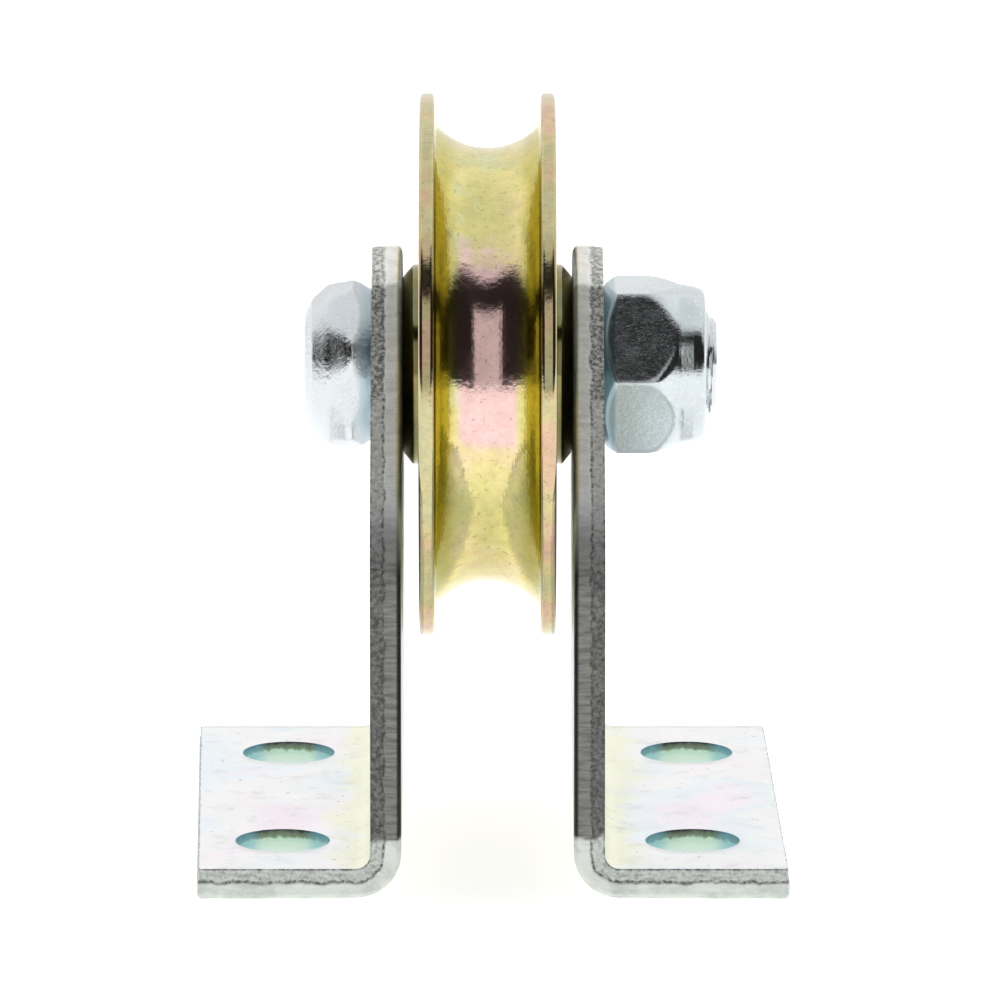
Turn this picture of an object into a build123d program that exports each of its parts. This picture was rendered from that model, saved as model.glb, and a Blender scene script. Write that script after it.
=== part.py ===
from build123d import *

import math
import os

# A U-groove gate wheel: a steel wheel on one sealed ball bearing, held by a through
# bolt between two L-shaped stamped brackets whose feet bolt to the gate.
#
# Frame: the feet stand on the plane z = 0 and the origin is the centre of their bolt
# pattern. X runs along the axle, from the bolt head to the nut. Y is the rolling
# direction. Millimetres throughout.

# Axle and wheel
axle_height = 70.0
wheel_diameter = 80.0
wheel_width = 20.0
groove_radius = 10.0
groove_depth = 8.0
flange_tip_thickness = 2.0
flange_root_thickness = 2.25
flange_rounding = 0.6
bearing_shoulder_height = 3.0
wheel_bore_chamfer = 0.6

# Ball bearing, of the 20 x 47 x 14 size
bearing_bore = 20.0
bearing_outer_diameter = 47.0
bearing_width = 14.0
bearing_corner = 1.0
ball_diameter = 7.938
ball_count = 8
race_clearance = 0.16
inner_land_depth = 2.35
outer_land_depth = 2.55
shield_seat_depth = 1.2
shield_thickness = 0.8
shield_inset = 0.4
shield_running_gap = 0.3
cage_sheet = 0.8
cage_width = 2.7
cage_pocket_clearance = 0.15
rivet_diameter = 1.4
rivet_head_diameter = 2.2
rivet_head_height = 0.5
rivet_hole_clearance = 0.05

# Retaining ring that holds the bearing in the wheel
retaining_ring_thickness = 1.75
retaining_groove_depth = 1.25
retaining_groove_clearance = 0.1
retaining_ring_radial_width = 3.6
retaining_ring_gap = 11.0
retaining_lug_radius = 3.0
retaining_eye_diameter = 2.5

# Spacer bushes between the bearing's inner ring and the brackets
wheel_side_clearance = 2.5
bush_bolt_clearance = 0.25
bush_neck_step = 1.6
bush_neck_length = 1.5
bush_collar_diameter = 29.5
bush_taper_length = 1.5
bush_end_diameter = 25.6
bush_middle_gap = 1.0
bush_edge = 0.3

# Axle bolt, M16
bolt_diameter = 16.0
bolt_length = 50.7
thread_length = 38.0
thread_pitch = 2.0
thread_depth = 1.1
bolt_tip_chamfer = 1.7
bolt_tip_length = 1.5
head_across_flats = 24.0
head_height = 10.0
head_seat_radius = 11.0
head_ridge_radius = 13.1
head_ridge_height = 2.9
head_shoulder_radius = 11.3
head_shoulder_height = 6.6
head_edge_radius = 10.3
head_edge_height = 8.4
head_face_radius = 7.0
head_turn = -11.7

# Lock nut with a nylon insert
nut_across_flats = 24.0
nut_height = 15.1
nut_hex_height = 11.3
nut_seat_radius = 11.4
nut_seat_chamfer = 1.9
nut_crown_start = 6.6
nut_collar_radius = 11.9
nut_collar_end_radius = 11.45
nut_collar_rounding = 1.6
nut_lip_opening_radius = 9.3
nut_lip_thickness = 0.8
nut_turn = 0.0
insert_radial_width = 2.3
insert_length = 2.9
thread_fit = 0.05

# Brackets
sheet_thickness = 4.5
bend_inner_radius = 2.2
bracket_width = 90.0
shoulder_drop = 17.0
shoulder_rounding = 20.0
eye_radius = 17.5
axle_hole_clearance = 0.5
foot_reach = 43.05
foot_end_slant = 0.85
foot_corner_rounding = 0.8
foot_hole_diameter = 13.5
foot_hole_spacing_x = 60.0
foot_hole_spacing_y = 55.0
die_roll = 0.8

# Fits
seat_clearance = 0.01

# Values that follow from the ones above
half_gap = wheel_width / 2 + wheel_side_clearance
bracket_face = half_gap + sheet_thickness
half_bearing = bearing_width / 2
seat_radius = bearing_outer_diameter / 2
shoulder_radius = seat_radius - bearing_shoulder_height
ball_pitch_radius = (bearing_bore + bearing_outer_diameter) / 4
race_radius = ball_diameter / 2 + race_clearance
pocket_radius = ball_diameter / 2 + cage_pocket_clearance
inner_land_radius = ball_pitch_radius - inner_land_depth
outer_land_radius = ball_pitch_radius + outer_land_depth
shield_seat_radius = outer_land_radius + shield_seat_depth
retaining_groove_radius = seat_radius + retaining_groove_depth
retaining_ring_radius = retaining_groove_radius - seat_clearance
bolt_radius = bolt_diameter / 2
insert_bore_radius = bolt_radius + thread_fit
bolt_tip = bolt_length - bracket_face

axle_axis = Axis((0, 0, axle_height), (1, 0, 0))
# Half sections of turned pieces are drawn here: x along the axle, y out from it.
section_plane = Plane(origin=(0, 0, axle_height), x_dir=(1, 0, 0), z_dir=(0, -1, 0))


def cross_plane(x):
    """The plane across the axle at x, with its own x along Y and its own y along Z."""
    return Plane(origin=(x, 0, axle_height), x_dir=(0, 1, 0), z_dir=(1, 0, 0))


def band(x_from, x_to, r_from, r_to, mode=Mode.ADD):
    """A rectangle of a half section, from x_from to x_to and from r_from to r_to."""
    with Locations(((x_from + x_to) / 2, (r_from + r_to) / 2)):
        Rectangle(x_to - x_from, r_to - r_from, mode=mode)


def circles_of(part, radius):
    """The circular edges of that radius."""
    round_edges = part.edges().filter_by(GeomType.CIRCLE)
    return round_edges.filter_by(lambda edge: abs(edge.radius - radius) < 1e-4)


def make_wheel_body():
    """The grooved wheel, bored from the nut's side for the bearing and its retaining ring."""
    half_width = wheel_width / 2
    rim = wheel_diameter / 2
    mouth = half_width - flange_tip_thickness
    root = half_width - flange_root_thickness
    floor = rim - groove_depth
    root_height = floor + groove_radius - math.sqrt(groove_radius**2 - root**2)
    groove_width = retaining_ring_thickness + retaining_groove_clearance
    with BuildPart() as wheel:
        with BuildSketch(section_plane):
            band(-half_width, half_width, shoulder_radius, rim)
            band(-half_bearing, half_width, 0, seat_radius, Mode.SUBTRACT)
            band(half_bearing, half_bearing + groove_width, 0, retaining_groove_radius,
                 Mode.SUBTRACT)
            with BuildLine():
                ThreePointArc((-root, root_height), (0, floor), (root, root_height))
                Polyline((root, root_height), (mouth, rim), (-mouth, rim), (-root, root_height))
            make_face(mode=Mode.SUBTRACT)
        revolve(axis=axle_axis)
        fillet(circles_of(wheel, rim), flange_rounding)
        bore_edges = circles_of(wheel, shoulder_radius).sort_by(Axis.X)[:1]
        bore_edges += circles_of(wheel, seat_radius).sort_by(Axis.X)[-1:]
        chamfer(bore_edges, wheel_bore_chamfer)
    return wheel


def make_outer_ring():
    """The bearing's outer ring, with its raceway and a seat for a shield at each end."""
    shield_start = half_bearing - shield_inset - shield_thickness
    with BuildPart() as ring:
        with BuildSketch(section_plane):
            band(-half_bearing, half_bearing, outer_land_radius, seat_radius - seat_clearance)
            for start, end in ((-half_bearing, -shield_start), (shield_start, half_bearing)):
                band(start, end, 0, shield_seat_radius, Mode.SUBTRACT)
            with Locations((0, ball_pitch_radius)):
                Circle(race_radius, mode=Mode.SUBTRACT)
        revolve(axis=axle_axis)
        fillet(circles_of(ring, seat_radius - seat_clearance), bearing_corner)
    return ring


def make_inner_ring():
    """The bearing's inner ring, clamped between the two bushes."""
    with BuildPart() as ring:
        with BuildSketch(section_plane):
            band(-half_bearing, half_bearing, bearing_bore / 2, inner_land_radius)
            with Locations((0, ball_pitch_radius)):
                Circle(race_radius, mode=Mode.SUBTRACT)
        revolve(axis=axle_axis)
        fillet(circles_of(ring, bearing_bore / 2), bearing_corner)
    return ring


def make_shield(side):
    """The pressed steel shield at one end of the bearing: -1 is the head's side."""
    outer_face = side * (half_bearing - shield_inset)
    inner_face = side * (half_bearing - shield_inset - shield_thickness)
    with BuildPart() as shield:
        with BuildSketch(section_plane):
            band(min(inner_face, outer_face), max(inner_face, outer_face),
                 inner_land_radius + shield_running_gap, shield_seat_radius - seat_clearance)
        revolve(axis=axle_axis)
        fillet(circles_of(shield, inner_land_radius + shield_running_gap), shield_thickness / 3)
    return shield


def make_balls():
    """All the balls of the bearing."""
    with BuildPart(cross_plane(0)) as balls:
        with PolarLocations(ball_pitch_radius, ball_count):
            Sphere(ball_diameter / 2)
    return balls


def make_cage_half(side):
    """One pressed half of the cage: flat between the balls and domed round each of them."""
    depth = pocket_radius + cage_sheet
    rivet_hole = rivet_diameter / 2 + rivet_hole_clearance
    with BuildPart(cross_plane(0)) as cage:
        with BuildSketch(cross_plane(0)):
            Circle(ball_pitch_radius + cage_width)
            Circle(ball_pitch_radius - cage_width, mode=Mode.SUBTRACT)
        extrude(amount=side * cage_sheet)
        with PolarLocations(ball_pitch_radius, ball_count):
            Sphere(depth)
        with BuildSketch(cross_plane(0)):
            Circle(ball_pitch_radius + cage_width / 2)
            Circle(ball_pitch_radius - cage_width / 2, mode=Mode.SUBTRACT)
        extrude(amount=side * depth, mode=Mode.INTERSECT)
        with PolarLocations(ball_pitch_radius, ball_count):
            Sphere(pocket_radius, mode=Mode.SUBTRACT)
        with PolarLocations(ball_pitch_radius, ball_count, start_angle=180 / ball_count):
            Cylinder(rivet_hole, 2 * depth, mode=Mode.SUBTRACT)
    return cage


def make_rivets():
    """The rivets that hold the two cage halves together, one between each pair of balls."""
    with BuildPart(cross_plane(0)) as rivets:
        with PolarLocations(ball_pitch_radius, ball_count, start_angle=180 / ball_count):
            Cylinder(rivet_diameter / 2, 2 * cage_sheet)
            for side in (-1, 1):
                with Locations((0, 0, side * (cage_sheet + rivet_head_height / 2))):
                    Cylinder(rivet_head_diameter / 2, rivet_head_height)
    return rivets


def make_retaining_ring():
    """The spring ring in the wheel's bore: a C with an eye at each end of its gap."""
    middle = retaining_ring_radius - retaining_ring_radial_width / 2
    lug_height = retaining_ring_radius - retaining_ring_radial_width
    lug_x = retaining_ring_gap / 2 - retaining_lug_radius / 2
    with BuildPart() as ring:
        with BuildSketch(cross_plane(half_bearing)):
            Circle(retaining_ring_radius)
            Circle(retaining_ring_radius - retaining_ring_radial_width, mode=Mode.SUBTRACT)
            with Locations((0, middle)):
                Rectangle(retaining_ring_gap, 2 * retaining_ring_radial_width,
                          mode=Mode.SUBTRACT)
            with Locations((-lug_x - retaining_lug_radius, lug_height),
                           (lug_x + retaining_lug_radius, lug_height)):
                Circle(retaining_lug_radius)
                Circle(retaining_eye_diameter / 2, mode=Mode.SUBTRACT)
            Circle(retaining_ring_radius, mode=Mode.INTERSECT)
        extrude(amount=retaining_ring_thickness)
    return ring


def make_spacer(side):
    """A flanged bush: its spigot fills the bearing's bore and its collar meets a bracket."""
    bore = bolt_radius + bush_bolt_clearance
    spigot = bearing_bore / 2 - seat_clearance
    neck = inner_land_radius - bush_neck_step
    neck_end = half_bearing + bush_neck_length
    taper_start = half_gap - bush_taper_length
    outline = [
        (bush_middle_gap / 2, bore),
        (bush_middle_gap / 2, spigot),
        (half_bearing, spigot),
        (half_bearing, neck),
        (neck_end, neck),
        (neck_end, bush_collar_diameter / 2),
        (taper_start, bush_collar_diameter / 2),
        (half_gap, bush_end_diameter / 2),
        (half_gap, bore),
    ]
    with BuildPart() as spacer:
        with BuildSketch(section_plane):
            with BuildLine():
                Polyline([(side * x, r) for x, r in outline], close=True)
            make_face()
        revolve(axis=axle_axis)
        chamfer(circles_of(spacer, spigot).sort_by(lambda edge: abs(edge.center().X))[:1],
                bush_edge)
    return spacer


def thread_outline(start, end):
    """Points along a thread from start to end: rings one pitch apart, with flat crests."""
    root = bolt_radius - thread_depth
    points = []
    for turn in range(round((end - start) / thread_pitch)):
        x = start + turn * thread_pitch
        points += [
            (x, bolt_radius),
            (x + 3 / 8 * thread_pitch, root),
            (x + 5 / 8 * thread_pitch, root),
            (x + 7 / 8 * thread_pitch, bolt_radius),
        ]
    return points


def make_axle_bolt():
    """The hexagon bolt through both brackets, with its thread as separate rings."""
    head_face = -bracket_face - head_height
    ridge = -bracket_face - head_ridge_height
    shoulder = -bracket_face - head_shoulder_height
    edge = -bracket_face - head_edge_height
    thread_end = bolt_tip - bolt_tip_length
    thread_start = bolt_tip - thread_length
    with BuildPart() as bolt:
        with BuildSketch(cross_plane(-bracket_face)):
            RegularPolygon(head_across_flats / 2, 6, major_radius=False, rotation=head_turn)
        extrude(amount=-head_height)
        with BuildSketch(section_plane):
            with BuildLine():
                Polyline((head_face, head_face_radius), (head_face, 0), (-bracket_face, 0),
                         (-bracket_face, head_seat_radius), (ridge, head_ridge_radius))
                Spline((ridge, head_ridge_radius), (shoulder, head_shoulder_radius),
                       (edge, head_edge_radius), (head_face, head_face_radius),
                       tangents=((-1, -0.3), (-0.3, -1)))
            make_face()
        revolve(axis=axle_axis, mode=Mode.INTERSECT)
        with BuildSketch(section_plane):
            with BuildLine():
                Polyline(
                    (-bracket_face, 0),
                    (-bracket_face, bolt_radius),
                    *thread_outline(thread_start, thread_end),
                    (thread_end, bolt_radius),
                    (bolt_tip, bolt_radius - bolt_tip_chamfer),
                    (bolt_tip, 0),
                    close=True,
                )
            make_face()
        revolve(axis=axle_axis)
    return bolt


def make_lock_nut():
    """The lock nut: a crowned hexagon with a rolled collar that traps the nylon insert."""
    crown_start = bracket_face + nut_crown_start
    hex_end = bracket_face + nut_hex_height
    nut_face = bracket_face + nut_height
    corner = nut_across_flats / 2 / math.cos(math.pi / 6)
    insert_start = nut_face - nut_lip_thickness - insert_length
    with BuildPart() as nut:
        with BuildSketch(cross_plane(bracket_face)):
            RegularPolygon(nut_across_flats / 2, 6, major_radius=False, rotation=nut_turn)
        extrude(amount=nut_hex_height)
        with BuildSketch(section_plane):
            with BuildLine():
                Polyline((hex_end, nut_collar_radius), (hex_end, 0), (bracket_face, 0),
                         (bracket_face, nut_seat_radius),
                         (bracket_face + nut_seat_chamfer, corner), (crown_start, corner))
                Spline((crown_start, corner), (hex_end, nut_collar_radius),
                       tangents=((1, 0), (1, -1)))
            make_face()
        revolve(axis=axle_axis, mode=Mode.INTERSECT)
        with BuildSketch(section_plane):
            with BuildLine():
                Polyline((crown_start, 0), (crown_start, nut_collar_radius),
                         (hex_end, nut_collar_radius), (nut_face, nut_collar_end_radius),
                         (nut_face, 0), close=True)
            make_face()
        revolve(axis=axle_axis)
        fillet(circles_of(nut, nut_collar_end_radius), nut_collar_rounding)
        with BuildSketch(section_plane):
            band(bracket_face, nut_face, 0, insert_bore_radius)
            band(insert_start, nut_face - nut_lip_thickness, 0,
                 insert_bore_radius + insert_radial_width)
            band(insert_start, nut_face, 0, nut_lip_opening_radius)
        revolve(axis=axle_axis, mode=Mode.SUBTRACT)
    return nut


def make_nut_insert():
    """The nylon ring that grips the thread."""
    insert_end = bracket_face + nut_height - nut_lip_thickness
    with BuildPart() as insert:
        with BuildSketch(section_plane):
            band(insert_end - insert_length, insert_end, insert_bore_radius,
                 insert_bore_radius + insert_radial_width)
        revolve(axis=axle_axis)
    return insert


def make_bracket():
    """The right bracket: a plate with a rounded eye, bent outwards into a foot."""
    bend_outer_radius = bend_inner_radius + sheet_thickness
    plate_top = axle_height + eye_radius
    half_width = bracket_width / 2
    with BuildPart() as bracket:
        # The bent sheet, seen along the rolling direction.
        with BuildSketch(Plane.XZ.offset(-half_width)):
            with BuildLine():
                FilletPolyline((half_gap, plate_top), (half_gap, 0),
                               (foot_reach + foot_end_slant, 0), radius=bend_outer_radius)
                Line((foot_reach + foot_end_slant, 0),
                     (foot_reach + foot_end_slant, sheet_thickness))
                FilletPolyline((foot_reach + foot_end_slant, sheet_thickness),
                               (bracket_face, sheet_thickness), (bracket_face, plate_top),
                               radius=bend_inner_radius)
                Line((bracket_face, plate_top), (half_gap, plate_top))
            make_face()
        extrude(amount=bracket_width)
        # The foot's end is sheared a little out of square.
        with BuildSketch(Plane.XY):
            with BuildLine():
                Polyline((0, -half_width), (foot_reach + foot_end_slant, -half_width),
                         (foot_reach - foot_end_slant, half_width), (0, half_width), close=True)
            make_face()
        extrude(amount=plate_top, mode=Mode.INTERSECT)
        # The plate's outline: straight sides, rounded shoulders and the eye round the axle.
        with BuildSketch(Plane.YZ) as outline:
            Rectangle(bracket_width, axle_height - shoulder_drop,
                      align=(Align.CENTER, Align.MIN))
            with Locations((0, axle_height)):
                Circle(eye_radius)
            make_hull()
            fillet(outline.vertices().group_by(Axis.Y)[1], shoulder_rounding)
        extrude(amount=foot_reach + foot_end_slant, mode=Mode.INTERSECT)
        foot_corners = bracket.edges().filter_by(Axis.Z).group_by(Axis.X)
        fillet(foot_corners[-1] + foot_corners[-2], foot_corner_rounding)
        inner_side = bracket.faces().filter_by(Plane.YZ).sort_by(Axis.X)[0]
        fillet(inner_side.edges().sort_by(Axis.Z)[-1], die_roll)
        with BuildSketch(cross_plane(half_gap)):
            Circle(bolt_radius + axle_hole_clearance)
        extrude(amount=sheet_thickness, mode=Mode.SUBTRACT)
        with BuildSketch(Plane.XY):
            with Locations((foot_hole_spacing_x / 2, -foot_hole_spacing_y / 2),
                           (foot_hole_spacing_x / 2, foot_hole_spacing_y / 2)):
                Circle(foot_hole_diameter / 2)
        extrude(amount=sheet_thickness, mode=Mode.SUBTRACT)
    return bracket


def make_left_bracket(right):
    """The same pressing as the right bracket, turned half round about the vertical."""
    with BuildPart() as bracket:
        add(right.part.rotate(Axis.Z, 180))
    return bracket


right_bracket = make_bracket()
pieces = {
    "right_bracket": right_bracket,
    "left_bracket": make_left_bracket(right_bracket),
    "axle_bolt": make_axle_bolt(),
    "lock_nut": make_lock_nut(),
    "lock_nut_insert": make_nut_insert(),
    "left_spacer": make_spacer(-1),
    "right_spacer": make_spacer(1),
    "wheel_body": make_wheel_body(),
    "retaining_ring": make_retaining_ring(),
    "bearing_outer_ring": make_outer_ring(),
    "bearing_inner_ring": make_inner_ring(),
    "bearing_shield_left": make_shield(-1),
    "bearing_shield_right": make_shield(1),
    "bearing_balls": make_balls(),
    "bearing_cage_left": make_cage_half(-1),
    "bearing_cage_right": make_cage_half(1),
    "bearing_cage_rivets": make_rivets(),
}

os.makedirs("parts", exist_ok=True)
for name, piece in pieces.items():
    piece.part.label = name
    export_step(piece.part, f"parts/{name}.step")
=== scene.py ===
import math

import bpy
import numpy as np
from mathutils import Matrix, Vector, noise
from mathutils.geometry import delaunay_2d_cdt


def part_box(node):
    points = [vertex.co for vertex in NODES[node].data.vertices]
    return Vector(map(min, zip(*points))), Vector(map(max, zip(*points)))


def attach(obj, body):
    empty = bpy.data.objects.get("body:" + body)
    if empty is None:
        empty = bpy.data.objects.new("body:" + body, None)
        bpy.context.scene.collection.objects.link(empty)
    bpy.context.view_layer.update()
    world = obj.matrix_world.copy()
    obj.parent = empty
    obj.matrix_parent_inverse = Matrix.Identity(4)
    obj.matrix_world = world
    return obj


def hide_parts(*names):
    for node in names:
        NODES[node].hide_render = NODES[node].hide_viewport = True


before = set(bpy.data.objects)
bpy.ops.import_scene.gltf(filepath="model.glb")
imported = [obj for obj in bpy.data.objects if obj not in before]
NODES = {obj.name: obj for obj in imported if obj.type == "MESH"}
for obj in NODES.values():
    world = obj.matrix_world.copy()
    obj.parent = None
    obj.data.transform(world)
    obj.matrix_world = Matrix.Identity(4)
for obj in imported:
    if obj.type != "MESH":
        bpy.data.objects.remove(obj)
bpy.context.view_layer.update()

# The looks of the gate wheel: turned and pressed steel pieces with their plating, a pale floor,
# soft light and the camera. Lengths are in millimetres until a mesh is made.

MM = 0.001


def box_mm(node):
    """A node's lowest and highest corners, in millimetres."""
    low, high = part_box(node)
    return Vector(low) / MM, Vector(high) / MM


# Places and sizes that the frame gives, in millimetres.
WHEEL_LOW, WHEEL_HIGH = box_mm("wheel_body")
AXLE_Z = (WHEEL_LOW.z + WHEEL_HIGH.z) / 2
RIM = (WHEEL_HIGH.z - WHEEL_LOW.z) / 2
HALF_WHEEL = WHEEL_HIGH.x
PLATE_INNER = box_mm("right_bracket")[0].x
PLATE_OUTER = box_mm("lock_nut")[0].x
FOOT_FAR = box_mm("right_bracket")[1].x
HALF_BRACKET = box_mm("right_bracket")[1].y
BRACKET_TOP = box_mm("right_bracket")[1].z
HEAD_FACE = box_mm("axle_bolt")[0].x
BOLT_TIP = box_mm("axle_bolt")[1].x
NUT_FACE = box_mm("lock_nut")[1].x
HALF_BEARING = box_mm("bearing_outer_ring")[1].x
SEAT = box_mm("bearing_outer_ring")[1].y
SHEET = PLATE_OUTER - PLATE_INNER
EYE = BRACKET_TOP - AXLE_Z

# Sizes that the frame's boxes don't give, in millimetres.
ACROSS_FLATS = 24.0
BOLT_RADIUS = 8.0
PITCH = 2.0
THREAD_CREST = BOLT_RADIUS - 0.04
THREAD_DEPTH = 1.15
THREAD_LENGTH = 38.0
HEAD_TURN = math.radians(19.0)  # where the bolt head's first corner is, round the axle
INSERT_WALL = 2.3

# How finely the meshes are divided.
ROUND_STEPS = 360
HOLE_STEPS = 120
EDGE_STEP = 0.45
BEND_STEPS = 20
BLANK_STEP_U, BLANK_STEP_V = 1.6, 1.72


# ---- Mesh building ------------------------------------------------------

def outline(corners, step, closed=True):
    """Points no further apart than step along the outline of (a, b, rounding radius) corners."""
    places = [Vector((a, b)) for a, b, _ in corners]
    last = len(corners) - 1
    bends = []
    for i, (corner, (_, _, radius)) in enumerate(zip(places, corners)):
        if radius == 0 or (not closed and i in (0, last)):
            bends.append([corner])
            continue
        back = (places[i - 1] - corner).normalized()
        on = (places[(i + 1) % len(places)] - corner).normalized()
        half = back.angle(on) / 2
        centre = corner + (back + on).normalized() * radius / math.sin(half)
        spoke = corner + back * radius / math.tan(half) - centre
        turn = math.pi - 2 * half
        if spoke.x * back.y - spoke.y * back.x > 0:
            turn = -turn
        count = max(5, math.ceil(radius * abs(turn) / step) + 1)
        arc = []
        for k in range(count):
            angle = turn * k / (count - 1)
            cos, sin = math.cos(angle), math.sin(angle)
            arc.append(centre + Vector((spoke.x * cos - spoke.y * sin,
                                        spoke.x * sin + spoke.y * cos)))
        bends.append(arc)
    points = []
    for i, bend in enumerate(bends):
        points += bend
        if i == last and not closed:
            break
        start, end = bend[-1], bends[(i + 1) % len(bends)][0]
        pieces = max(1, math.ceil((end - start).length / step))
        points += [start.lerp(end, k / pieces) for k in range(1, pieces)]
    return np.array([(p.x, p.y) for p in points])


def mesh_piece(name, points_mm, faces, smooth_angle):
    """A mesh object from points in millimetres, smooth but for edges sharper than the angle."""
    mesh = bpy.data.meshes.new(name)
    mesh.from_pydata((np.asarray(points_mm) * MM).tolist(), [], faces)
    mesh.validate()
    piece = bpy.data.objects.new(name, mesh)
    bpy.context.scene.collection.objects.link(piece)
    mesh.shade_smooth()
    mesh.set_sharp_from_angle(angle=math.radians(smooth_angle))
    return piece


def soft_min(a, b, width):
    """The smaller of two lengths, rounded over where they are within width of each other."""
    near = np.clip(width - np.abs(a - b), 0, None) / width
    return np.minimum(a, b) - near * near * width / 4


def hexagon_radius(angles, across_flats, turn):
    """The distance to a hexagon's sides at each angle, with a corner at the angle turn."""
    sixth = math.pi / 3
    return across_flats / 2 / np.cos((angles - turn) % sixth - sixth / 2)


def turned(name, profile, shape=None, closed=True, smooth_angle=35.0):
    """A piece turned about the axle from (x, r) points. shape(x, r, angles) may change the radius."""
    angles = np.linspace(0, 2 * math.pi, ROUND_STEPS, endpoint=False)
    rings = []
    for x, r in profile:
        radii = np.full(ROUND_STEPS, r) if shape is None else shape(x, r, angles)
        rings.append(np.column_stack([
            np.full(ROUND_STEPS, x), -radii * np.cos(angles), AXLE_Z + radii * np.sin(angles)]))
    points = np.vstack(rings)
    count = len(rings)
    faces = []
    for ring in range(count if closed else count - 1):
        low, high = ring * ROUND_STEPS, (ring + 1) % count * ROUND_STEPS
        for k in range(ROUND_STEPS):
            after = (k + 1) % ROUND_STEPS
            faces.append((low + k, high + k, high + after, low + after))
    if not closed:
        points = np.vstack([points, [(profile[0][0], 0, AXLE_Z), (profile[-1][0], 0, AXLE_Z)]])
        start, end = count * ROUND_STEPS, count * ROUND_STEPS + 1
        rim = (count - 1) * ROUND_STEPS
        for k in range(ROUND_STEPS):
            after = (k + 1) % ROUND_STEPS
            faces.append((start, k, after))
            faces.append((end, rim + after, rim + k))
    return mesh_piece(name, points, faces, smooth_angle)


def dent(piece, depth, grain, chosen):
    """Moves the chosen points of a mesh in and out by noise of that grain, in millimetres."""
    mesh = piece.data
    count = len(mesh.vertices)
    places = np.empty(count * 3)
    normals = np.empty(count * 3)
    mesh.vertices.foreach_get("co", places)
    mesh.vertices.foreach_get("normal", normals)
    places, normals = places.reshape(-1, 3), normals.reshape(-1, 3)
    for i in range(count):
        x, y, z = places[i] / MM
        if chosen(x, y, z):
            push = noise.noise((x / grain, y / grain, z / grain)) - 0.5
            places[i] += normals[i] * push * depth * MM
    mesh.vertices.foreach_set("co", places.ravel())
    mesh.update()


def helix_radius(x, angles):
    """The thread's radius at each angle: a helix of the pitch with flat crests and roots."""
    half_groove, flank = 0.44, 0.32  # in pitches
    along = ((BOLT_TIP - x) / PITCH + angles / (2 * math.pi)) % 1.0
    depth = np.clip((half_groove - np.abs(along - 0.5)) / flank, 0, 1)
    return THREAD_CREST - THREAD_DEPTH * depth


def clamp(value):
    """A number kept from 0 to 1."""
    return min(1.0, max(0.0, value))


# ---- Turned pieces ------------------------------------------------------

def make_wheel():
    """The wheel: the U groove between two flanges, bored for the bearing and its ring."""
    groove_depth, groove_radius, arc_steps = 8.0, 10.0, 41
    root_half, mouth = HALF_WHEEL - 2.35, HALF_WHEEL - 2.25
    shoulder_bore, ring_groove, seat = SEAT - 3.0, SEAT + 1.25, SEAT + 0.01
    ring_far = HALF_BEARING + 1.85
    rim_round, mouth_round, bore_round, inner_round = 0.65, 0.6, 0.5, 0.1
    centre = RIM - groove_depth + groove_radius
    reach = math.asin(root_half / groove_radius)
    arc = [(groove_radius * math.sin(a), centre - groove_radius * math.cos(a), 0)
           for a in np.linspace(-reach, reach, arc_steps)]
    corners = [
        (-HALF_WHEEL, shoulder_bore, bore_round), (-HALF_WHEEL, RIM, rim_round),
        (-mouth, RIM, mouth_round), *arc, (mouth, RIM, mouth_round),
        (HALF_WHEEL, RIM, rim_round), (HALF_WHEEL, seat, bore_round),
        (ring_far, seat, inner_round), (ring_far, ring_groove, inner_round),
        (HALF_BEARING, ring_groove, inner_round), (HALF_BEARING, seat, inner_round),
        (-HALF_BEARING, seat, inner_round), (-HALF_BEARING, shoulder_bore, 0.3),
    ]
    return turned("wheel", outline(corners, 0.5), smooth_angle=50)


def make_spacer(name, node, side):
    """A flanged bush, with its collar tapering to the plate."""
    neck_end, bore, neck, land = 0.5, 8.25, 9.99, 12.8
    collar = box_mm(node)[1].y
    collar_near, collar_far = HALF_BEARING + 1.5, PLATE_INNER - 1.5
    corners = [
        (neck_end, bore, 0.1), (neck_end, neck, 0.3), (HALF_BEARING, neck, 0),
        (HALF_BEARING, land, 0.2), (collar_near, land, 0.1), (collar_near, collar, 0.4),
        (collar_far, collar, 0.5), (PLATE_INNER, land, 0.2), (PLATE_INNER, bore, 0.2),
    ]
    profile = outline([(side * x, r, bend) for x, r, bend in corners], 0.4)
    return turned(name, profile)


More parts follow.
